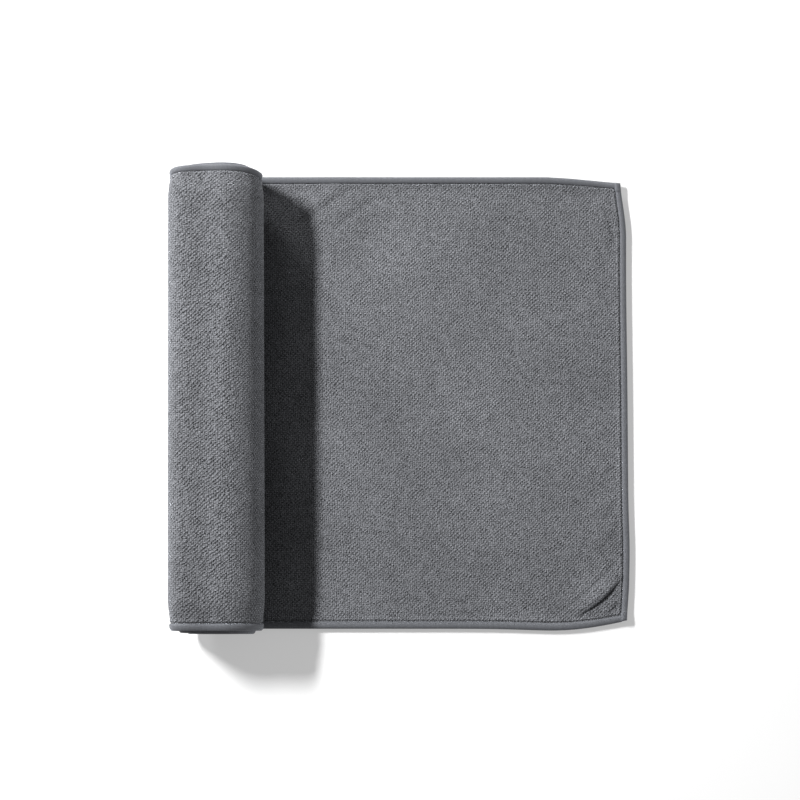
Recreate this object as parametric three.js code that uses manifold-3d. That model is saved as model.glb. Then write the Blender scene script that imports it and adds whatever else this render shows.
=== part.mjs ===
// A microfibre golf towel, lying flat with one end rolled up.
//
// Lengths are millimetres. +Z is up and the towel rests on z = 0. +X runs from the roll to the
// free end, and +Y points to the back edge. The origin is the middle of the footprint.
//
// The cloth follows one path. It starts at the free end, runs flat along -X, and then turns up,
// over and into the roll, so that the roll lies on top of the sheet that leaves from under it.
// A place on the towel is its distance from the free end along that path.
//
// The towel lifts at one line across it. What is past the line towards the roll is the rolled
// part, and what is on the other side is the free part. Both are the same cloth and tapes.

import Module from "manifold-3d";
import * as THREE from "three";
import { mergeVertices } from "three/addons/utils/BufferGeometryUtils.js";

const INCH = 25.4;
const FULL_TURN = 2 * Math.PI;

// Driving dimensions.
const TOWEL_LENGTH = 40 * INCH;
const TOWEL_WIDTH = 16 * INCH;
const OVERALL_LENGTH = 410; // as it lies, from the roll's outer side to the free end
const CLOTH_THICKNESS = 2.4;
const BINDING_WIDTH = 6.3;
const BINDING_WALL = 0.75;
const THREAD_WIDTH = 0.9;
const THREAD_HEIGHT = 0.45;
const FIT_GAP = 0.3; // between pieces that touch on the real towel
const ROLL_RADIUS = 43.1; // from the roll's axis to the middle of the cloth, at the ground
const ROLL_PITCH = 6.8; // how much that radius shrinks in each turn
const ROLL_SQUASH = 0.97; // the roll's height as a share of its width
const STEPS_PER_TURN = 32;
const LIFT_LINE_X = -100;
const CUT_PAST = 2; // how far a cutting band runs past what it cuts

// Sizes that follow from them.
const BINDING_THICKNESS = CLOTH_THICKNESS + 2 * (FIT_GAP + BINDING_WALL);
const HALF_CLOTH = CLOTH_THICKNESS / 2;
const HALF_SLOT = HALF_CLOTH + FIT_GAP;
const HALF_BINDING = BINDING_THICKNESS / 2;
const HALF_WIDTH = TOWEL_WIDTH / 2;
const EDGE_INSET = BINDING_WALL + FIT_GAP; // from a binding's outer edge to the cloth's cut edge
const SEAM_INSET = BINDING_WIDTH + FIT_GAP; // from a binding's outer edge to its seam
const SEAM_END = SEAM_INSET + THREAD_WIDTH + FIT_GAP; // where a long seam stops at a cross seam
const FREE_END_X = OVERALL_LENGTH / 2;
const ROLL_AXIS_X = HALF_BINDING + rollRadius(FULL_TURN / 4) - FREE_END_X;
const FLAT_LENGTH = FREE_END_X - ROLL_AXIS_X;
const LIFT_LINE = FREE_END_X - LIFT_LINE_X;

const clothMaterial = new THREE.MeshStandardMaterial({
  color: 0x686b72,
  roughness: 0.95,
  metalness: 0,
});
const bindingMaterial = new THREE.MeshStandardMaterial({
  color: 0x6c7077,
  roughness: 0.85,
  metalness: 0,
});
const threadMaterial = new THREE.MeshStandardMaterial({
  color: 0x5a5d63,
  roughness: 0.7,
  metalness: 0,
});

const wasm = await Module();
wasm.setup();

function rollRadius(angle) {
  return ROLL_RADIUS - (ROLL_PITCH * angle) / FULL_TURN;
}

// A point of the roll, turned by the angle from where the cloth leaves the ground.
function rollPoint(angle) {
  const radius = rollRadius(angle);
  const x = ROLL_AXIS_X - radius * Math.sin(angle);
  const z = HALF_BINDING + ROLL_SQUASH * (ROLL_RADIUS - radius * Math.cos(angle));
  return new THREE.Vector2(x, z);
}

// The side of the cloth that is up where it lies flat, and inside in the roll.
function rollNormal(angle) {
  const radius = rollRadius(angle);
  const shrink = -ROLL_PITCH / FULL_TURN;
  const alongX = -shrink * Math.sin(angle) - radius * Math.cos(angle);
  const alongZ = ROLL_SQUASH * (radius * Math.sin(angle) - shrink * Math.cos(angle));
  return new THREE.Vector2(alongZ, -alongX).normalize();
}

// The distance from the free end at each step around the roll, a little past the inner end.
function measureRoll() {
  const distances = [FLAT_LENGTH];
  let point = rollPoint(0);
  while (distances.at(-1) < TOWEL_LENGTH + CUT_PAST) {
    const next = rollPoint((distances.length * FULL_TURN) / STEPS_PER_TURN);
    distances.push(distances.at(-1) + next.distanceTo(point));
    point = next;
  }
  return distances;
}

const rollDistances = measureRoll();

// The path's point at a distance from the free end, moved off the cloth's middle by offset.
function pathPoint(distance, offset) {
  if (distance <= FLAT_LENGTH) {
    return new THREE.Vector2(FREE_END_X - distance, HALF_BINDING + offset);
  }
  const after = rollDistances.findIndex((reached) => reached >= distance);
  const before = rollDistances[after - 1];
  const share = (distance - before) / (rollDistances[after] - before);
  const angle = ((after - 1 + share) * FULL_TURN) / STEPS_PER_TURN;
  return rollPoint(angle).addScaledVector(rollNormal(angle), offset);
}

// A band of the path from one distance to another and between two offsets, extruded by width.
function band(from, to, low, high, width) {
  const between = rollDistances.filter((distance) => distance > from && distance < to);
  const distances = [from, ...between, to];
  const lower = distances.map((distance) => pathPoint(distance, low));
  const upper = distances.map((distance) => pathPoint(distance, high)).reverse();
  const shape = new THREE.Shape([...lower, ...upper]);
  return new THREE.ExtrudeGeometry(shape, { depth: width, steps: 1, bevelEnabled: false });
}

function toSolid(geometry) {
  const bare = geometry.clone();
  bare.deleteAttribute("normal");
  bare.deleteAttribute("uv");
  const merged = mergeVertices(bare);
  const vertProperties = merged.attributes.position.array;
  const triVerts = Uint32Array.from(merged.index.array);
  return new wasm.Manifold(new wasm.Mesh({ numProp: 3, vertProperties, triVerts }));
}

function toGeometry(solid) {
  const mesh = solid.getMesh();
  const geometry = new THREE.BufferGeometry();
  geometry.setAttribute("position", new THREE.BufferAttribute(mesh.vertProperties, 3));
  geometry.setIndex(new THREE.BufferAttribute(mesh.triVerts, 1));
  return geometry;
}

// A tape folded over the cloth's edge: a thick band with a slot where the cloth goes.
function foldedTape(tape, slot) {
  const whole = band(tape.from, tape.to, -HALF_BINDING, HALF_BINDING, tape.width);
  const cut = band(slot.from, slot.to, -HALF_SLOT, HALF_SLOT, slot.width);
  cut.translate(0, 0, slot.shift);
  return toGeometry(toSolid(whole).subtract(toSolid(cut)));
}

// A tape along a long edge, between two distances. Its closed side faces away from the cloth.
function longTape(from, to, edge) {
  const tape = { from, to, width: BINDING_WIDTH };
  const slot = {
    from: from - CUT_PAST,
    to: to + CUT_PAST,
    width: BINDING_WIDTH - BINDING_WALL + CUT_PAST,
    shift: edge === "back" ? BINDING_WALL : -CUT_PAST,
  };
  return foldedTape(tape, slot);
}

// A tape across a short edge, closed at both corners, where the real one is folded in.
function crossTape(from, to, slotFrom, slotTo) {
  const tape = { from, to, width: TOWEL_WIDTH };
  const slot = {
    from: slotFrom,
    to: slotTo,
    width: TOWEL_WIDTH - 2 * BINDING_WALL,
    shift: BINDING_WALL,
  };
  return foldedTape(tape, slot);
}

// The needle thread runs along the upper side of the cloth and the bobbin thread along the lower.
function threadOn(side, from, to, width) {
  const near = HALF_CLOTH + FIT_GAP;
  const far = near + THREAD_HEIGHT;
  return side === "needle" ? band(from, to, near, far, width) : band(from, to, -far, -near, width);
}

const towel = new THREE.Group();

// A geometry's own z runs towards the front edge, from the y where the piece begins.
function addPiece(name, geometry, material, backY) {
  const mesh = new THREE.Mesh(geometry, material);
  mesh.name = name;
  mesh.rotation.x = Math.PI / 2;
  mesh.position.y = backY;
  towel.add(mesh);
}

// The cloth, and what is sewn along its long edges, on each side of the lift line.
const clothWidth = TOWEL_WIDTH - 2 * EDGE_INSET;
const parts = [
  {
    suffix: "free",
    clothFrom: EDGE_INSET,
    tapeFrom: BINDING_WIDTH + FIT_GAP,
    seamFrom: SEAM_END,
    clothTo: LIFT_LINE - FIT_GAP / 2,
    tapeTo: LIFT_LINE - FIT_GAP / 2,
    seamTo: LIFT_LINE - FIT_GAP / 2,
  },
  {
    suffix: "rolled",
    clothFrom: LIFT_LINE + FIT_GAP / 2,
    tapeFrom: LIFT_LINE + FIT_GAP / 2,
    seamFrom: LIFT_LINE + FIT_GAP / 2,
    clothTo: TOWEL_LENGTH - EDGE_INSET,
    tapeTo: TOWEL_LENGTH - BINDING_WIDTH - FIT_GAP,
    seamTo: TOWEL_LENGTH - SEAM_END,
  },
];
const edges = [
  { name: "back", tapeY: HALF_WIDTH, seamY: HALF_WIDTH - SEAM_INSET },
  { name: "front", tapeY: BINDING_WIDTH - HALF_WIDTH, seamY: SEAM_INSET + THREAD_WIDTH - HALF_WIDTH },
];
for (const part of parts) {
  const cloth = band(part.clothFrom, part.clothTo, -HALF_CLOTH, HALF_CLOTH, clothWidth);
  addPiece(`cloth_${part.suffix}`, cloth, clothMaterial, HALF_WIDTH - EDGE_INSET);
  for (const edge of edges) {
    const tape = longTape(part.tapeFrom, part.tapeTo, edge.name);
    addPiece(`${edge.name}_binding_${part.suffix}`, tape, bindingMaterial, edge.tapeY);
    for (const side of ["needle", "bobbin"]) {
      const thread = threadOn(side, part.seamFrom, part.seamTo, THREAD_WIDTH);
      addPiece(`${edge.name}_${side}_thread_${part.suffix}`, thread, threadMaterial, edge.seamY);
    }
  }
}

// The short edges: the free end, and the inner end at the core of the roll.
const ends = [
  {
    name: "free_end",
    tape: crossTape(0, BINDING_WIDTH, BINDING_WALL, BINDING_WIDTH + CUT_PAST),
    seamFrom: SEAM_INSET,
  },
  {
    name: "inner_end",
    tape: crossTape(
      TOWEL_LENGTH - BINDING_WIDTH,
      TOWEL_LENGTH,
      TOWEL_LENGTH - BINDING_WIDTH - CUT_PAST,
      TOWEL_LENGTH - BINDING_WALL,
    ),
    seamFrom: TOWEL_LENGTH - SEAM_INSET - THREAD_WIDTH,
  },
];
const crossSeamWidth = TOWEL_WIDTH - 2 * SEAM_INSET;
for (const end of ends) {
  addPiece(`${end.name}_binding`, end.tape, bindingMaterial, HALF_WIDTH);
  for (const side of ["needle", "bobbin"]) {
    const thread = threadOn(side, end.seamFrom, end.seamFrom + THREAD_WIDTH, crossSeamWidth);
    addPiece(`${end.name}_${side}_thread`, thread, threadMaterial, HALF_WIDTH - SEAM_INSET);
  }
}

export default towel;
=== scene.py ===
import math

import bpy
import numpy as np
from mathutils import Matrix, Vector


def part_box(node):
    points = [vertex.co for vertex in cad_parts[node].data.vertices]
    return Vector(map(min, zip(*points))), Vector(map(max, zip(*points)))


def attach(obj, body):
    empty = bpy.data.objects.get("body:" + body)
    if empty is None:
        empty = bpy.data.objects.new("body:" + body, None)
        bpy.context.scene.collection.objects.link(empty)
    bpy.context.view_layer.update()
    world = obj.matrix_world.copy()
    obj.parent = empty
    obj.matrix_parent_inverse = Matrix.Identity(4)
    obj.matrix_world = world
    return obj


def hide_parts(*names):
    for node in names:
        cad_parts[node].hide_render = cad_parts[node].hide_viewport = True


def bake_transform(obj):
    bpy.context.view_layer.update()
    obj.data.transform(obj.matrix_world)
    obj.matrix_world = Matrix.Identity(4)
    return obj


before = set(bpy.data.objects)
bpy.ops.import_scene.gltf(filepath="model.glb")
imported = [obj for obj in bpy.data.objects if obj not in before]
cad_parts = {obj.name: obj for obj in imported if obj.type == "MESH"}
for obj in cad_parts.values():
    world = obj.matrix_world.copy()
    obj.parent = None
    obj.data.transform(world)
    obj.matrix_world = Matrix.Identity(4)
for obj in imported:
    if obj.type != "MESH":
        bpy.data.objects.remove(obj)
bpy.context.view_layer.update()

# A microfibre golf towel that lies flat with one end rolled up.
#
# A place on the towel is (run, across): run is the distance from the free end along the cloth,
# and across is the distance from the cloth's long middle line, positive towards the back edge.
# middle() turns a place into a point in space, and everything on the towel is built on it.
# Lengths are millimetres until a mesh is made. Blender and the frame use metres.

MM = 0.001
TURN = 2 * math.pi

# ---------------------------------------------------------------- sizes

FREE_END_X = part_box("free_end_binding")[1][0] / MM
ROLL_SIDE_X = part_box("back_binding_rolled")[0][0] / MM
HALF_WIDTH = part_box("free_end_binding")[1][1] / MM

TOWEL_LENGTH = 1016.0
BINDING_WIDTH = 6.3
CLOTH_HALF = 1.2
CLOTH_CUT = 1.0  # from the binding's outer edge to the cloth's cut edge inside it
SEAM_LINE = 6.7  # from the binding's outer edge to the stitches
STITCH_LENGTH = 2.9

# The frame's roll: the radius of the cloth's middle layer at the ground, what each turn takes
# off it, and the roll's height as a share of its width.
ROLL_RADIUS = 43.1
ROLL_PITCH = 6.8
ROLL_SQUASH = 0.97
ROLL_SETTLE = 2.0  # how much lower each turn lies than the frame's
FRAME_BINDING_HALF = 2.25  # half the thickness of the frame's bindings
SHIFT_Y = 1.2  # the towel lies this much towards the front
REST_HEIGHT = 2.4  # the cloth's middle above the ground, where the roll begins
FLAT_HEIGHT = 1.45  # and where the sheet lies closest to the ground
ROLL_AXIS_X = ROLL_SIDE_X + FRAME_BINDING_HALF + ROLL_RADIUS - ROLL_PITCH / 4
FLAT_LENGTH = FREE_END_X - ROLL_AXIS_X

# The roll's section. An angle is how far the cloth has turned since it left the ground.
ROLL_SWELL = 1.0  # how much larger the roll's radius is than the frame's, in the middle
END_SWELL = -1.2  # and at its two ends
SWELL_ANGLE = 1.4  # the angle over which that grows from nothing
TAPER_FROM = 176.0  # how far from the middle line the roll begins to narrow
TAPER_LENGTH = 27.0
ROLL_SHIFT = 1.5  # how much nearer the free end the roll is than the frame's
ROLL_FLATTEN = 0.07  # how far its top sinks, as a share of its radius
ROLL_SKEW = 0.007  # the slope of the roll's axis, which isn't quite square to the sheet
JOIN_ANGLE = 1.2  # the angle over which the roll takes up its shift, skew and shoulder
ROUND_POWER = 2.0  # the exponent of a superellipse that is a circle
SHOULDER_POWER = 4.0  # what the shoulder adds to it
SHOULDER_ANGLE = 0.36 * TURN
SHOULDER_REACH = 0.75
SHOULDER_FADE = 0.42  # the share of the shoulder that each turn further in loses
ROLL_DIP = 2.1  # the depth of the long hollow beside the shoulder
DIP_ANGLE = TURN / 2 - 0.27
DIP_REACH = 0.32

# The roll's two ends.
BACK_REACH = -0.7  # how far each sticks out past the flat part's edge
FRONT_REACH = 1.2
REACH_ANGLE = 1.5
BACK_PEEP = 3.4  # how much further the inner turns stick out
FRONT_PEEP = 2.8
PEEP_FROM = 0.75  # the turns after which they begin to
# Where the back end is drawn in: how far, at what angle of each turn, and over what angle.
BACK_HOLLOWS = ((5.4, 1.7, 0.7), (2.6, 4.6, 0.6))

# The free end's outline, as moves along the towel. Each corner is pulled in by an amount that
# grows from one distance off the middle line, over a width.
BACK_PULL, BACK_PULL_FROM, BACK_PULL_WIDTH = 5.4, 150.0, 60.0
FRONT_PULL, FRONT_PULL_FROM, FRONT_PULL_WIDTH = 2.2, 165.0, 45.0
END_PULL = 0.3
END_WAVES = ((0.9, -134.0, 30.0), (-0.5, 100.0, 60.0))  # how far, where across, and how wide
PULL_REACH = 45.0

# The long edges' outline, as moves across the towel. Near the free end both are drawn in, by an
# amount and the power by which it grows, and the front edge bows out between there and the roll.
DRAW_LENGTH = 75.0
BACK_DRAW, BACK_DRAW_POWER = 6.3, 1.4
FRONT_DRAW, FRONT_DRAW_POWER = 7.6, 2.0
FRONT_BOW, BOW_RUN, BOW_REACH = 1.7, 60.0, 46.0

# How the edges stand off the ground.
CURL_HEIGHT = np.array([3.9, 4.1, 1.7])  # of the free edge, the front edge and the back edge
CURL_REACH = np.array([18.0, 16.0, 8.0])
CURL_FROM = 3.0  # up to here from the edge it stands up in full
CORNER_LIFT = 0.75  # the tape is thick where it is folded in
CORNER_REACH = 14.0
EDGE_CALM = 30.0  # the sheet's waves are in full this far from an edge
ROLL_CALM = 25.0  # and end this far from the roll
JOIN_LENGTH = 40.0  # the sheet comes to the roll's height over this length

WEAVE_RUN = 3.75  # the weave repeats at these distances
WEAVE_ACROSS = 3.45
WEAVE_DRIFT = 3.6  # about how far the rows of the weave wander


# ---------------------------------------------------------------- the towel's surface


def smooth(t):
    """0 below 0, 1 above 1, and a smooth step between."""
    t = np.clip(t, 0.0, 1.0)
    return t * t * (3 - 2 * t)


def bump_at(t, centre, reach):
    return np.exp(-(((t - centre) / reach) ** 2))


def roll_radius(angle):
    return ROLL_RADIUS - ROLL_PITCH * angle / TURN


def squareness(angle):
    """The exponent of the superellipse that the roll's section follows."""
    shoulder = bump_at(angle % TURN, SHOULDER_ANGLE, SHOULDER_REACH)
    faded = np.clip(1 - SHOULDER_FADE * angle / TURN, 0.0, 1.0)
    return ROUND_POWER + SHOULDER_POWER * shoulder * faded


def roll_xz(angle, swell):
    """The cloth's middle layer in the roll, seen from the front, as x and z."""
    joined = smooth(angle / JOIN_ANGLE)
    grown = swell * smooth(angle / SWELL_ANGLE)
    sine, cosine, power = np.sin(angle), np.cos(angle), squareness(angle)
    squared = (np.abs(sine) ** power + np.abs(cosine) ** power) ** (-1 / power)
    squared = 1 + (squared - 1) * joined
    radius = (roll_radius(angle) + grown) * squared
    dip = ROLL_DIP * np.exp(-angle / TURN / 2) * bump_at(angle % TURN, DIP_ANGLE, DIP_REACH)
    up = -radius * cosine * (1 - ROLL_FLATTEN * np.clip(-cosine, 0.0, None) ** 2) - dip
    x = ROLL_AXIS_X - radius * sine + ROLL_SHIFT * joined
    z = REST_HEIGHT + ROLL_SQUASH * (ROLL_RADIUS + grown + up)
    return x, z - ROLL_SETTLE * angle / TURN


# The distance along the cloth at each of many angles, and past the inner end.
TABLE_ANGLES = np.linspace(0.0, 4 * TURN, 8001)
TABLE_X, TABLE_Z = roll_xz(TABLE_ANGLES, 0.0)
TABLE_RUNS = np.concatenate([[0.0], np.cumsum(np.hypot(np.diff(TABLE_X), np.diff(TABLE_Z)))])


def roll_angle(run):
    return np.interp(run - FLAT_LENGTH, TABLE_RUNS, TABLE_ANGLES)


# Folds in the flat part: a crease from one (x, y) to another, how far the crests beside it stand
# off, the heights of the crests on its left and on its right, and how far the left crest leans
# over the crease. Left and right are as seen on the way from the first point to the second.
FOLDS = (
    ((160.0, -194.0), (199.0, -160.0), 4.6, 4.2, 0.0, 2.9),
    ((145.0, -190.0), (196.0, -143.0), 3.4, 0.8, 0.55, 0.2),
    ((183.0, -192.0), (197.0, -179.0), 2.6, 1.5, 0.0, 0.9),
    ((174.0, -112.0), (197.0, -90.0), 4.2, 0.9, 0.2, 0.3),
    ((178.0, -132.0), (199.0, -112.0), 4.2, 0.9, 0.2, 0.3),
    ((158.0, 186.0), (196.0, 148.0), 5.5, 1.0, 1.5, 0.0),
    ((182.0, 178.0), (194.0, 140.0), 4.5, 0.2, 1.1, 0.0),
    ((174.0, 143.0), (188.0, 120.0), 5.0, 0.6, 0.9, 0.0),
    ((-90.0, 160.0), (-40.0, 196.0), 6.0, 1.7, 0.9, 0.0),
    ((-66.0, 150.0), (-10.0, 192.0), 6.5, 0.9, 0.8, 0.0),
    ((-72.0, -176.0), (-38.0, -132.0), 7.0, 0.5, 0.4, 0.0),
)


def folds(x, y):
    """How the folds move the sheet, along x, y and z."""
    moved = np.zeros(np.shape(x) + (3,))
    for (x0, y0), (x1, y1), reach, left, right, lean in FOLDS:
        length = math.hypot(x1 - x0, y1 - y0)
        to_left = np.array([y0 - y1, x1 - x0]) / length
        along = ((x - x0) * (x1 - x0) + (y - y0) * (y1 - y0)) / length
        off = (x - x0) * to_left[0] + (y - y0) * to_left[1]
        share = np.clip(2 * along / length - 1, -1.3, 1.3) / 1.3
        away = np.abs(off) / reach
        crest = (1 - share**2) ** 2 * away * np.exp(1 - away)
        moved[..., :2] -= (crest * np.where(off > 0, lean, 0.0))[..., None] * to_left
        moved[..., 2] += crest * np.where(off > 0, left, right)
    return moved


def waves(x, y):
    """Slow rises of the flat part off the ground: two sets of crossed waves."""
    total = 0.55 * np.sin(x / 37.0 + y / 61.0 + 0.4) * np.sin(y / 47.0 - x / 95.0 + 1.1)
    total += 0.35 * np.sin(x / 21.0 - y / 33.0 + 2.0) * np.sin(y / 29.0 + 0.3)
    return 0.95 + total


def edge_distance(run, across):
    """How far a place is from the nearest finished edge."""
    return np.minimum(np.minimum(run, TOWEL_LENGTH - run), HALF_WIDTH - np.abs(across))


def curl(run, across):
    """How far the nearest edges stand the sheet up."""
    from_edges = np.stack([run, HALF_WIDTH + across, HALF_WIDTH - across], axis=-1)
    curls = CURL_HEIGHT * np.exp(-np.clip(from_edges - CURL_FROM, 0.0, None) / CURL_REACH)
    return (curls**4).sum(axis=-1) ** 0.25


def sideways_shares(across):
    """How far a place is towards the back edge and towards the front edge, as shares."""
    share = across / HALF_WIDTH
    return np.clip(share, 0.0, None), np.clip(-share, 0.0, None)


def roll_point(angle, across):
    back, front = sideways_shares(across)
    to_end = smooth((np.abs(across) - TAPER_FROM) / TAPER_LENGTH)
    x, z = roll_xz(angle, ROLL_SWELL - (ROLL_SWELL - END_SWELL) * to_end)
    outer_turn = smooth(angle / REACH_ANGLE)
    inner_turn = smooth(angle / TURN - PEEP_FROM)
    hollow = sum(far * bump_at(angle % TURN, centre, reach) for far, centre, reach in BACK_HOLLOWS)
    back_move = BACK_REACH * outer_turn + BACK_PEEP * inner_turn - hollow * smooth(angle)
    front_move = FRONT_REACH * outer_turn + FRONT_PEEP * inner_turn
    y = across - SHIFT_Y + back**6 * back_move - front**6 * front_move
    x = x - ROLL_SKEW * y * smooth(angle / JOIN_ANGLE)
    return np.stack([x, y, z], axis=-1)


def flat_point(run, across):
    back, front = sideways_shares(across)
    pull = -BACK_PULL * smooth((across - BACK_PULL_FROM) / BACK_PULL_WIDTH) - END_PULL
    pull = pull - FRONT_PULL * smooth((-across - FRONT_PULL_FROM) / FRONT_PULL_WIDTH)
    pull = pull + sum(far * bump_at(across, centre, reach) for far, centre, reach in END_WAVES)
    x = FREE_END_X - run + pull * np.exp(-np.clip(run, 0.0, None) / PULL_REACH)
    near_end = np.clip(1 - run / DRAW_LENGTH, 0.0, None)
    back_draw = BACK_DRAW * near_end**BACK_DRAW_POWER
    front_draw = FRONT_DRAW * near_end**FRONT_DRAW_POWER
    front_draw = front_draw - FRONT_BOW * bump_at(run, BOW_RUN, BOW_REACH)
    y = across - SHIFT_Y - back_draw * back**3 + front_draw * front**3
    from_side = HALF_WIDTH - np.abs(across)
    corner = bump_at(run, 0.0, CORNER_REACH) * bump_at(from_side, 0.0, CORNER_REACH)
    calm = smooth(edge_distance(run, across) / EDGE_CALM)
    calm = calm * smooth((FLAT_LENGTH - ROLL_CALM - run) / JOIN_LENGTH)
    z = FLAT_HEIGHT + curl(run, across) + CORNER_LIFT * corner + calm * waves(x, y)
    z = z + smooth((run - FLAT_LENGTH + JOIN_LENGTH) / JOIN_LENGTH) * (REST_HEIGHT - z)
    return np.stack([x, y, z], axis=-1) + folds(x, y)


def middle(run, across):
    """The point of the cloth's middle layer at a place, in millimetres."""
    rolled = (run > FLAT_LENGTH)[..., None]
    return np.where(rolled, roll_point(roll_angle(run), across), flat_point(run, across))


def upward(run, across):
    """The towel's normal at a place: up where it is flat, and to the roll's axis in the roll."""
    step = 0.4
    along = middle(run + step, across) - middle(run - step, across)
    sideways = middle(run, across + step) - middle(run, across - step)
    normal = np.cross(sideways, along)
    return normal / np.linalg.norm(normal, axis=-1, keepdims=True)


def place(run, across, offset):
    """The point that stands off the cloth's middle layer by offset."""
    run, across, offset = np.broadcast_arrays(run, across, offset)
    return middle(run, across) + upward(run, across) * offset[..., None]


# ---------------------------------------------------------------- meshes


def signed_volume(points, quads):
    a, b, c, d = (points[quads[:, k]] for k in range(4))
    return (np.cross(b - a, c - a) * a).sum() + (np.cross(c - a, d - a) * a).sum()


def make_piece(name, points, quads, caps, towel, material):
    """A closed mesh facing out. towel is where each vertex is on the piece, for its material."""
    if signed_volume(points, quads) < 0:
        quads = quads[:, ::-1]
        caps = [cap[::-1] for cap in caps]
    mesh = bpy.data.meshes.new(name)
    faces = quads.tolist() + [list(map(int, cap)) for cap in caps]
    mesh.from_pydata((points * MM).tolist(), [], faces)
    attribute = mesh.attributes.new("towel", "FLOAT_VECTOR", "POINT")
    attribute.data.foreach_set("vector", (towel * MM).astype(np.float32).ravel())
    rounded = np.ones(len(faces), bool)
    rounded[len(quads):] = False
    mesh.polygons.foreach_set("use_smooth", rounded)
    mesh.materials.append(material)
    mesh.validate()
    mesh.update()
    piece = bpy.data.objects.new(name, mesh)
    bpy.context.scene.collection.objects.link(piece)
    return piece


def sweep(name, rings, towel, material):
    """Joins closed rings of points, one after another, and caps the two ends."""
    count, sides = rings.shape[:2]
    index = np.arange(count * sides).reshape(count, sides)
    here, after = index[:-1], index[1:]
    quads = np.stack([here, np.roll(here, -1, 1), np.roll(after, -1, 1), after], axis=-1)
    caps = [index[0][::-1], index[-1]]
    points, towel = rings.reshape(-1, 3), towel.reshape(-1, 3)
    return make_piece(name, points, quads.reshape(-1, 4), caps, towel, material)


def rim_of(grid):
    """The indices around a grid's outline, in order."""
    return np.concatenate([grid[0, :-1], grid[:-1, -1], grid[-1, :0:-1], grid[:0:-1, 0]])


def slab(name, runs, acrosses, half, material):
    """A sheet with two faces and a rim. half(run, across) is half its thickness."""
    run, across = np.meshgrid(runs, acrosses, indexing="ij")
    thick = half(run, across)
    points = np.concatenate([place(run, across, thick), place(run, across, -thick)])
    towel = np.concatenate([np.stack([run, across, t], -1) for t in (thick, -thick)])
    rows, columns = run.shape
    top = np.arange(rows * columns).reshape(rows, columns)
    under = top + rows * columns
    quads = [
        np.stack([g[:-1, :-1], g[1:, :-1], g[1:, 1:], g[:-1, 1:]], -1).reshape(-1, 4)[:, ::way]
        for g, way in ((top, 1), (under, -1))
    ]
    rim_top, rim_under = rim_of(top), rim_of(under)
    quads.append(np.stack([rim_top, np.roll(rim_top, -1), np.roll(rim_under, -1), rim_under], -1))
    points, towel = points.reshape(-1, 3), towel.reshape(-1, 3)
    return make_piece(name, points, np.concatenate(quads), [], towel, material)


# ---------------------------------------------------------------- materials


class Shader:
    """Builds one material, node by node."""

    def __init__(self, name):
        self.material = bpy.data.materials.new(name)
        self.material.use_nodes = True
        self.tree = self.material.node_tree
        self.principled = self.tree.nodes["Principled BSDF"]

    def add(self, kind, inputs=(), output=0, **settings):
        node = self.tree.nodes.new(f"ShaderNode{kind}")
        for key, value in settings.items():
            setattr(node, key, value)
        for socket, value in dict(inputs).items():
            self.feed(node.inputs[socket], value)
        return node.outputs[output]

    def feed(self, socket, value):
        if isinstance(value, bpy.types.NodeSocket):
            self.tree.links.new(value, socket)
        else:
            socket.default_value = value

    def math(self, operation, *values):
        return self.add("Math", enumerate(values), operation=operation)

    def weighted(self, constant, *terms):
        """A constant, plus each term's value times its weight."""
        total = constant
        for value, weight in terms:
            total = self.math("MULTIPLY_ADD", value, weight, total)
        return total

    def split(self, vector):
        """The x and y of a vector."""
        parts = self.add("SeparateXYZ", {0: vector}).node.outputs
        return parts[0], parts[1]

    def voronoi(self, x, y, randomness):
        """The distance to the nearest point of a lattice of step 1, and that point's own shade."""
        at = self.add("CombineXYZ", {0: x, 1: y})
        inputs = {"Vector": at, "Scale": 1.0, "Randomness": randomness}
        cells = self.add("TexVoronoi", inputs, voronoi_dimensions="2D").node.outputs
        return cells["Distance"], self.split(cells["Color"])[0]

    def noise(self, vector, scale, detail=2.0, output="Fac"):
        inputs = {"Vector": vector, "Scale": scale, "Detail": detail}
        return self.add("TexNoise", inputs, output=output)

    def ramp(self, value, low, high, to_low=0.0, to_high=1.0):
        inputs = {0: value, 1: low, 2: high, 3: to_low, 4: to_high}
        return self.add("MapRange", inputs, interpolation_type="SMOOTHSTEP")

    def blend(self, share, dark, light):
        inputs = {"Factor": share, "A": (*dark, 1.0), "B": (*light, 1.0)}
        return self.add("Mix", inputs, output="Result", data_type="RGBA")

    def scaled(self, colour, factor):
        return self.add("VectorMath", {0: colour, "Scale": factor}, operation="SCALE")

    def towel(self):
        """The towel's own coordinates, in metres."""
        return self.add("Attribute", output="Vector", attribute_name="towel")

    def bump(self, height, distance):
        return self.add("Bump", {"Height": height, "Distance": distance, "Strength": 1.0})

    def surface(self, **inputs):
        for socket, value in inputs.items():
            self.feed(self.principled.inputs[socket.replace("_", " ")], value)
        return self.material


HOLE_INSIDE = 0.2  # a needle hole's shade is in full up to here from the seam's line
HOLE_OUTSIDE = 0.75  # and gone from here on


def needle_holes(s, run, across):
    """1 in the middle of each needle hole, along all four seams, and 0 away from them."""
    from_side = s.math("SUBTRACT", HALF_WIDTH * MM, s.math("ABSOLUTE", across))
    from_end = s.math("MINIMUM", run, s.math("SUBTRACT", TOWEL_LENGTH * MM, run))
    marks = []
    for inset, along in ((from_side, run), (from_end, across)):
        off = s.math("ABSOLUTE", s.math("SUBTRACT", inset, SEAM_LINE * MM))
        line = s.ramp(off, HOLE_INSIDE * MM, HOLE_OUTSIDE * MM, 1.0, 0.0)
        beat = s.math("COSINE", s.math("MULTIPLY", along, TURN / (STITCH_LENGTH * MM)))
        marks.append(s.math("MULTIPLY", line, s.ramp(beat, -0.5, 0.6)))
    return s.math("MAXIMUM", *marks)


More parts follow.
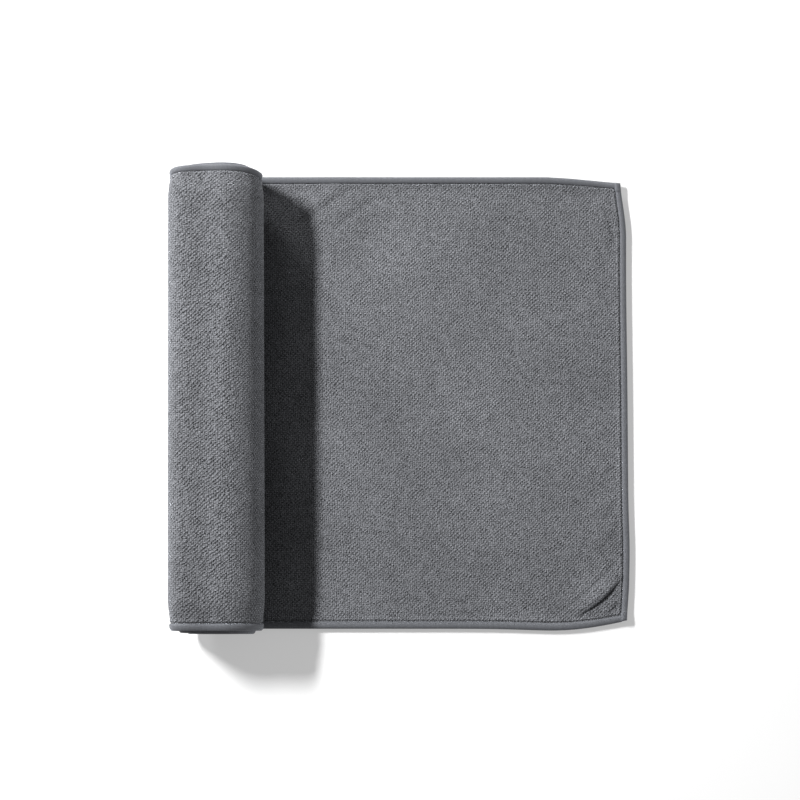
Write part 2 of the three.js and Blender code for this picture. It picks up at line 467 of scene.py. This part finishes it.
def weave_spots(s, column, row, shift):
    """Soft spots on a staggered lattice, each of its own strength, up to 1 in their middles."""
    u = s.math("ADD", s.math("ADD", column, row), shift)
    v = s.math("ADD", s.math("SUBTRACT", column, row), shift)
    distance, shade = s.voronoi(u, v, 0.42)
    spot = s.ramp(distance, 0.06, 0.38, 1.0, 0.0)
    return s.math("MULTIPLY", spot, s.ramp(shade, 0.0, 1.0, 0.25, 1.0))


def cloth_material():
    """A waffle knit: rows of small holes, with a fuzzy loop of yarn between every four of them."""
    s = Shader("cloth")
    towel = s.towel()
    wander = {0: s.noise(towel, 70.0, 1.5, "Color"), 1: (0.5, 0.5, 0.5)}
    drift = s.add("VectorMath", wander, operation="SUBTRACT")
    drifted = {0: drift, 1: (WEAVE_DRIFT * MM, WEAVE_DRIFT * MM, 0.0), 2: towel}
    run, across = s.split(s.add("VectorMath", drifted, operation="MULTIPLY_ADD"))
    column = s.math("DIVIDE", run, WEAVE_RUN * MM)
    row = s.math("DIVIDE", across, WEAVE_ACROSS * MM)
    hole = weave_spots(s, column, row, 0.0)
    loop = weave_spots(s, column, row, 0.5)
    # The weave opens where the roll stretches it.
    roll_start, stretched_by = FLAT_LENGTH * MM, (FLAT_LENGTH + 30.0) * MM
    stretch = s.ramp(s.split(towel)[0], roll_start, stretched_by, 1.0, 1.45)
    relief = s.math("MULTIPLY", s.math("SUBTRACT", loop, hole), stretch)
    fibres = s.math("SUBTRACT", s.noise(towel, 1100.0, 1.0), 0.5)
    clumps = s.math("SUBTRACT", s.noise(towel, 150.0, 3.0), 0.5)
    yarn_rows = [s.math("COSINE", s.math("MULTIPLY", along, 2 * TURN)) for along in (column, row)]
    yarns = s.math("ADD", *yarn_rows)
    # The needle holes dent the cloth, and they also darken its colour as painted shade in the
    # holes.
    needle_dent_and_shade = needle_holes(s, *s.split(towel))
    height = s.weighted(0.0, (relief, 1.0), (fibres, 1.3), (needle_dent_and_shade, -0.7))
    # In the colour, the relief darkens the weave's holes as painted shade and lightens its loops
    # as a painted highlight. The fibres, yarn rows and clumps are the cloth's own tone.
    tone = s.weighted(
        0.5, (relief, 0.25), (fibres, 1.6), (yarns, 0.16), (clumps, 0.35), (needle_dent_and_shade, -0.12)
    )
    colour = s.blend(tone, (0.028, 0.0288, 0.0312), (0.2, 0.205, 0.22))
    patches = s.noise(towel, 11.0, 3.0)
    return s.surface(
        Base_Color=s.scaled(colour, s.ramp(patches, 0.3, 0.7, 0.92, 1.08)),
        Roughness=0.95,
        Specular_IOR_Level=0.15,
        Sheen_Weight=0.35,
        Sheen_Roughness=0.3,
        Sheen_Tint=(0.88, 0.92, 1.0, 1.0),
        Normal=s.bump(height, 0.0007),
    )


def binding_material():
    """A fine knit tape with ribs across it."""
    s = Shader("binding")
    towel = s.towel()
    along = s.split(towel)[0]
    wander = s.math("MULTIPLY", s.noise(towel, 300.0, 2.0), 4.0)
    ribs = s.math("SINE", s.math("ADD", s.math("MULTIPLY", along, TURN / (1.1 * MM)), wander))
    fuzz = s.noise(towel, 900.0, 3.0)
    height = s.math("ADD", s.math("MULTIPLY", ribs, 0.3), fuzz)
    colour = s.blend(s.ramp(height, 0.1, 0.9), (0.076, 0.079, 0.087), (0.128, 0.133, 0.146))
    return s.surface(
        Base_Color=colour,
        Roughness=0.8,
        Specular_IOR_Level=0.25,
        Sheen_Weight=0.35,
        Sheen_Roughness=0.3,
        Sheen_Tint=(0.85, 0.9, 1.0, 1.0),
        Normal=s.bump(height, 0.0002),
    )


def thread_material():
    """Sewing thread of twisted plies."""
    s = Shader("thread")
    towel = s.towel()
    along = s.split(towel)[0]
    twist = s.math("SINE", s.math("MULTIPLY", along, TURN / (0.5 * MM)))
    height = s.math("ADD", s.math("MULTIPLY", twist, 0.4), s.noise(towel, 2500.0, 2.0))
    colour = s.blend(s.ramp(height, 0.0, 1.0), (0.07, 0.073, 0.08), (0.15, 0.155, 0.17))
    return s.surface(
        Base_Color=colour,
        Roughness=0.55,
        Sheen_Weight=0.1,
        Normal=s.bump(height, 0.0001),
    )


def floor_material():
    """White ground. It glows a little, so that the shadows on it stay as pale as they are."""
    s = Shader("floor")
    place_at = s.add("TexCoord", output="Object")
    shade = s.ramp(s.noise(place_at, 3.0), 0.3, 0.7, 0.6, 0.65)
    return s.surface(
        Base_Color=(0.5, 0.5, 0.5, 1.0),
        Roughness=shade,
        Specular_IOR_Level=0.1,
        Emission_Color=(1.0, 1.0, 1.0, 1.0),
        Emission_Strength=0.37,
    )


# ---------------------------------------------------------------- the cloth

cloth_look = cloth_material()
binding_look = binding_material()
thread_look = thread_material()

# How far in from a finished edge the cloth's mesh lines are, from its cut edge past the seam.
EDGE_LINES = np.array([CLOTH_CUT, 3.5, 5.8, 6.4, 6.7, 7.0, 7.4, 7.8, 8.4, 9.4, 11.0, 13.0])
SHOWN_IN_ROLL = 265.0  # what shows of the roll's outer turn, along the cloth

# The other mesh lines. They are closest near the free end and the front edge, where the sharpest
# folds are.
FINE_FROM, FINE_TO, FINE_STEP = 14.4, 62.0, 1.15
BACK_FROM, BACK_STEP = 14.8, 1.75
BETWEEN_COUNT = 68
FLAT_STEP = 3.4
ROLL_STEP = 3.6
HIDDEN_STEP = 6.0

CUT_HALF = 0.3  # half the cloth's thickness at its cut edge
SEWN_HALF = 0.45  # and at the seam
PUFF = 0.45  # and how much more than in full it is where it puffs out beside the seam
PUFF_LINE = 8.1
PUFF_REACH = 1.1


def cloth_half(run, across):
    """Half the cloth's thickness at a place."""
    edge = edge_distance(run, across)
    sewn = CUT_HALF + (SEWN_HALF - CUT_HALF) * smooth((edge - CLOTH_CUT) / 2.0)
    full = (CLOTH_HALF - SEWN_HALF) * smooth((edge - SEAM_LINE + 0.4) / 1.1)
    return sewn + full + PUFF * bump_at(edge, PUFF_LINE, PUFF_REACH)


from_front = np.arange(FINE_FROM, FINE_TO, FINE_STEP)
from_back = np.arange(BACK_FROM, FINE_TO, BACK_STEP)
front_limit = from_front[-1] - HALF_WIDTH + 4.0
back_limit = HALF_WIDTH - from_back[-1] - 4.0
between = np.linspace(front_limit, back_limit, BETWEEN_COUNT)
acrosses = np.concatenate([
    EDGE_LINES - HALF_WIDTH,
    from_front - HALF_WIDTH,
    between,
    HALF_WIDTH - from_back[::-1],
    HALF_WIDTH - EDGE_LINES[::-1],
])
runs = np.concatenate([
    EDGE_LINES,
    np.arange(FINE_FROM, FINE_TO + 2.0, FINE_STEP),
    np.arange(FINE_TO + 4.0, FLAT_LENGTH - 1.0, FLAT_STEP),
    np.arange(FLAT_LENGTH, FLAT_LENGTH + SHOWN_IN_ROLL, ROLL_STEP),
    np.arange(FLAT_LENGTH + SHOWN_IN_ROLL + 3.0, TOWEL_LENGTH - 15.0, HIDDEN_STEP),
    TOWEL_LENGTH - EDGE_LINES[::-1],
])
cloth = slab("towel_cloth", runs, acrosses, cloth_half, cloth_look)

# ---------------------------------------------------------------- the bindings

# The folded tape's section: how far in from the outer edge, and off the cloth's middle layer.
TAPE_OUTSIDE = (
    (6.05, 0.5),
    (5.95, 1.15),
    (5.45, 1.75),
    (4.6, 2.15),
    (3.6, 2.25),
    (2.6, 2.2),
    (1.7, 1.95),
    (0.9, 1.45),
    (0.35, 0.82),
    (0.05, 0.28),
)
TAPE_INSIDE = ((5.9, 0.45), (4.0, 0.62), (1.6, 0.62), (0.9, 0.25))
# How much wider than the section each tape lies, by the edge that it is on.
TAPE_SPREAD = {"back": -0.1, "front": 0.4, "free_end": -0.6, "inner_end": 0.0}
# How much thicker each tape is at its inner side than in the middle, as a share.
TAPE_LEAN = {"back": -0.32, "front": 0.2, "free_end": 0.12, "inner_end": 0.0}

upper = np.array(TAPE_OUTSIDE)
lining = np.array(TAPE_INSIDE)
flip = np.array([1.0, -1.0])
SECTION = np.concatenate([upper, upper[::-1] * flip, lining * flip, lining[::-1]])

TAPE_STEP = 1.45
HIDDEN_TAPE_STEP = 3.0
TAPE_END = 5.4  # where the long tapes end, under the short ones

# The short tapes' ends, which are folded in over the corners.
CORNER_STATIONS = np.array([0.0, 0.25, 0.8, 1.6, 3.0, 5.0, 7.0, 8.3, 8.9, 9.6])
FOLD_LENGTH = 8.2
FOLD_THICKER = 0.3  # as shares
FOLD_WIDER = 0.1
CORNER_RADIUS = 1.7


def leaning(edge, inset):
    """How much thicker a tape is than its section, at a distance in from its outer edge."""
    return 1 + TAPE_LEAN[edge] * (inset / (BINDING_WIDTH / 2) - 1)


def tape_runs(start, stop):
    """Stations along a long tape: close together on what shows, wider inside the roll."""
    fine = np.arange(start, FLAT_LENGTH + SHOWN_IN_ROLL, TAPE_STEP)
    coarse = np.arange(fine[-1] + HIDDEN_TAPE_STEP, stop - 1.0, HIDDEN_TAPE_STEP)
    return np.concatenate([fine, coarse, [stop]])


def long_binding(name, edge, side):
    stations = tape_runs(TAPE_END, TOWEL_LENGTH - TAPE_END)
    inset, off = SECTION[:, 0][None], SECTION[:, 1][None]
    run = np.broadcast_to(stations[:, None], (len(stations), len(SECTION)))
    spread = TAPE_SPREAD[edge] * (1 - inset / BINDING_WIDTH)
    rings = place(run, side * (HALF_WIDTH - inset + spread), off * leaning(edge, inset))
    towel = np.stack(np.broadcast_arrays(run, inset, off), -1)
    return sweep(name, rings, towel, binding_look)


def end_binding(name, end):
    """The tape over a short edge. Its ends are folded in over the corners."""
    stations = np.concatenate([
        HALF_WIDTH - CORNER_STATIONS,
        np.arange(HALF_WIDTH - 11.0, 11.0 - HALF_WIDTH, -TAPE_STEP),
        CORNER_STATIONS[::-1] - HALF_WIDTH,
    ])
    corner = HALF_WIDTH - np.abs(stations)
    folded = 1 - smooth((corner - FOLD_LENGTH) / 0.9)
    rounded = np.sqrt(np.clip(1 - np.clip(1 - corner / CORNER_RADIUS, 0, 1) ** 2, 0.04, 1))
    inset = SECTION[:, 0][None]
    thicker = (1 + FOLD_THICKER * folded) * rounded
    off = SECTION[:, 1][None] * leaning(end, inset) * thicker[:, None]
    inset = inset * (1 + FOLD_WIDER * folded)[:, None]
    inset = inset - TAPE_SPREAD[end] * (1 - inset / BINDING_WIDTH)
    run = inset if end == "free_end" else TOWEL_LENGTH - inset
    across = np.broadcast_to(stations[:, None], off.shape)
    rings = place(run, across, off)
    towel = np.stack([across, inset, off], -1)
    return sweep(name, rings, towel, binding_look)


# ---------------------------------------------------------------- the stitches

THREAD_RADIUS = 0.2
THREAD_SIDES = 6
THREAD_LOW = 0.36  # the thread's middle above the cloth's, at a needle hole
THREAD_RISE = 0.32  # and how much higher it is between two holes
THREAD_INSET = 1.4  # how far from a cross seam a long one stops
STITCH_STEPS = 6


def thread_tube(name, start, stop, to_place):
    """A thread that dips into the cloth at each stitch.

    to_place(t, aside) gives the run, the across and the side of the cloth of a point on it.
    """
    count = int((stop - start) / STITCH_LENGTH)
    t = np.linspace(start, stop, count * STITCH_STEPS + 1)
    phase = (t - start) / (stop - start) * count
    height = THREAD_LOW + THREAD_RISE * np.sqrt(np.abs(np.sin(phase * math.pi)))
    around = np.arange(THREAD_SIDES) * TURN / THREAD_SIDES
    aside = THREAD_RADIUS * np.cos(around)[None]
    lift = height[:, None] + THREAD_RADIUS * np.sin(around)[None]
    run, across, sign = to_place(t[:, None], aside)
    rings = place(run, across, lift * sign)
    towel = np.stack(np.broadcast_arrays(t[:, None], aside, lift), -1)
    return sweep(name, rings, towel, thread_look)


def long_thread(name, side, sign):
    def to_place(t, aside):
        return t, side * (HALF_WIDTH - SEAM_LINE) + aside, sign

    start = SEAM_LINE + THREAD_INSET
    return thread_tube(name, start, TOWEL_LENGTH - start, to_place)


def end_thread(name, end, sign):
    line = SEAM_LINE if end == "free_end" else TOWEL_LENGTH - SEAM_LINE

    def to_place(t, aside):
        return line + aside, t, sign

    return thread_tube(name, SEAM_LINE - HALF_WIDTH, HALF_WIDTH - SEAM_LINE, to_place)


# ---------------------------------------------------------------- putting it together


def bends(piece, *nodes):
    """A piece of the whole towel, on no single body: its transform is baked into its mesh, and the
    frame's parts it stands for are hidden.
    """
    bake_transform(piece)
    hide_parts(*nodes)
    return piece


def rides(piece, body, *nodes):
    """A piece that stays on one body."""
    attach(piece, body)
    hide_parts(*nodes)
    return piece


for edge, side in (("back", 1), ("front", -1)):
    binding = long_binding(f"{edge}_tape", edge, side)
    bends(binding, f"{edge}_binding_rolled", f"{edge}_binding_free")
    for kind, sign in (("needle", 1), ("bobbin", -1)):
        thread = long_thread(f"{edge}_{kind}_stitches", side, sign)
        nodes = [f"{edge}_{kind}_thread_{part}" for part in ("rolled", "free")]
        bends(thread, *nodes)
for end, body in (("free_end", "free_part"), ("inner_end", "rolled_part")):
    binding = end_binding(f"{end}_tape", end)
    rides(binding, body, f"{end}_binding")
    for kind, sign in (("needle", 1), ("bobbin", -1)):
        thread = end_thread(f"{end}_{kind}_stitches", end, sign)
        rides(thread, body, f"{end}_{kind}_thread")
bends(cloth, "cloth_rolled", "cloth_free")

# ---------------------------------------------------------------- floor, light and camera

bpy.ops.mesh.primitive_grid_add(x_subdivisions=8, y_subdivisions=8, size=12.0, location=(0, 0, 0))
floor = bpy.context.object
floor.name = "floor"
floor.data.materials.append(floor_material())


def aim(thing, place_at, target):
    """Puts a light or a camera at a place, facing the target, with its own Y towards the back."""
    back = (Vector(place_at) - Vector(target)).normalized()
    right = Vector((0.0, 1.0, 0.0)).cross(back).normalized()
    turned = Matrix((right, back.cross(right), back)).transposed().to_4x4()
    thing.matrix_world = Matrix.Translation(place_at) @ turned


def soft_light(name, place_at, target, power, size, spread):
    data = bpy.data.lights.new(name, "AREA")
    data.shape = "ELLIPSE"
    data.size, data.size_y = size
    data.energy = power
    data.spread = math.radians(spread)
    lamp = bpy.data.objects.new(name, data)
    lamp.visible_camera = False
    bpy.context.scene.collection.objects.link(lamp)
    aim(lamp, place_at, target)


# The key light is high at the back left, the rim light is low there, and the side light is low
# on the right.
soft_light("key", (-1.86, 1.17, 2.1), (-0.2, 0.15, 0.0), 21.6, (0.26, 0.7), 60.0)
soft_light("rim", (-1.6, 2.6, 0.42), (-0.16, 0.05, 0.05), 80.0, (0.6, 0.6), 180.0)
soft_light("side", (2.3, -0.1, 0.12), (-0.16, 0.0, 0.06), 24.0, (0.3, 0.5), 180.0)

world = bpy.data.worlds.new("studio")
world.use_nodes = True
world.node_tree.nodes["Background"].inputs["Color"].default_value = (1.0, 1.0, 1.0, 1.0)
world.node_tree.nodes["Background"].inputs["Strength"].default_value = 0.21
bpy.context.scene.world = world
bpy.context.scene.view_settings.view_transform = "Standard"

camera_data = bpy.data.cameras.new("camera")
camera_data.lens = 112.5
camera_data.sensor_width = 36.0
camera_data.clip_end = 50.0
camera = bpy.data.objects.new("camera", camera_data)
bpy.context.scene.collection.objects.link(camera)
aim(camera, (0.0, -0.18, 2.24), (0.0, 0.0, 0.0))
bpy.context.scene.camera = camera
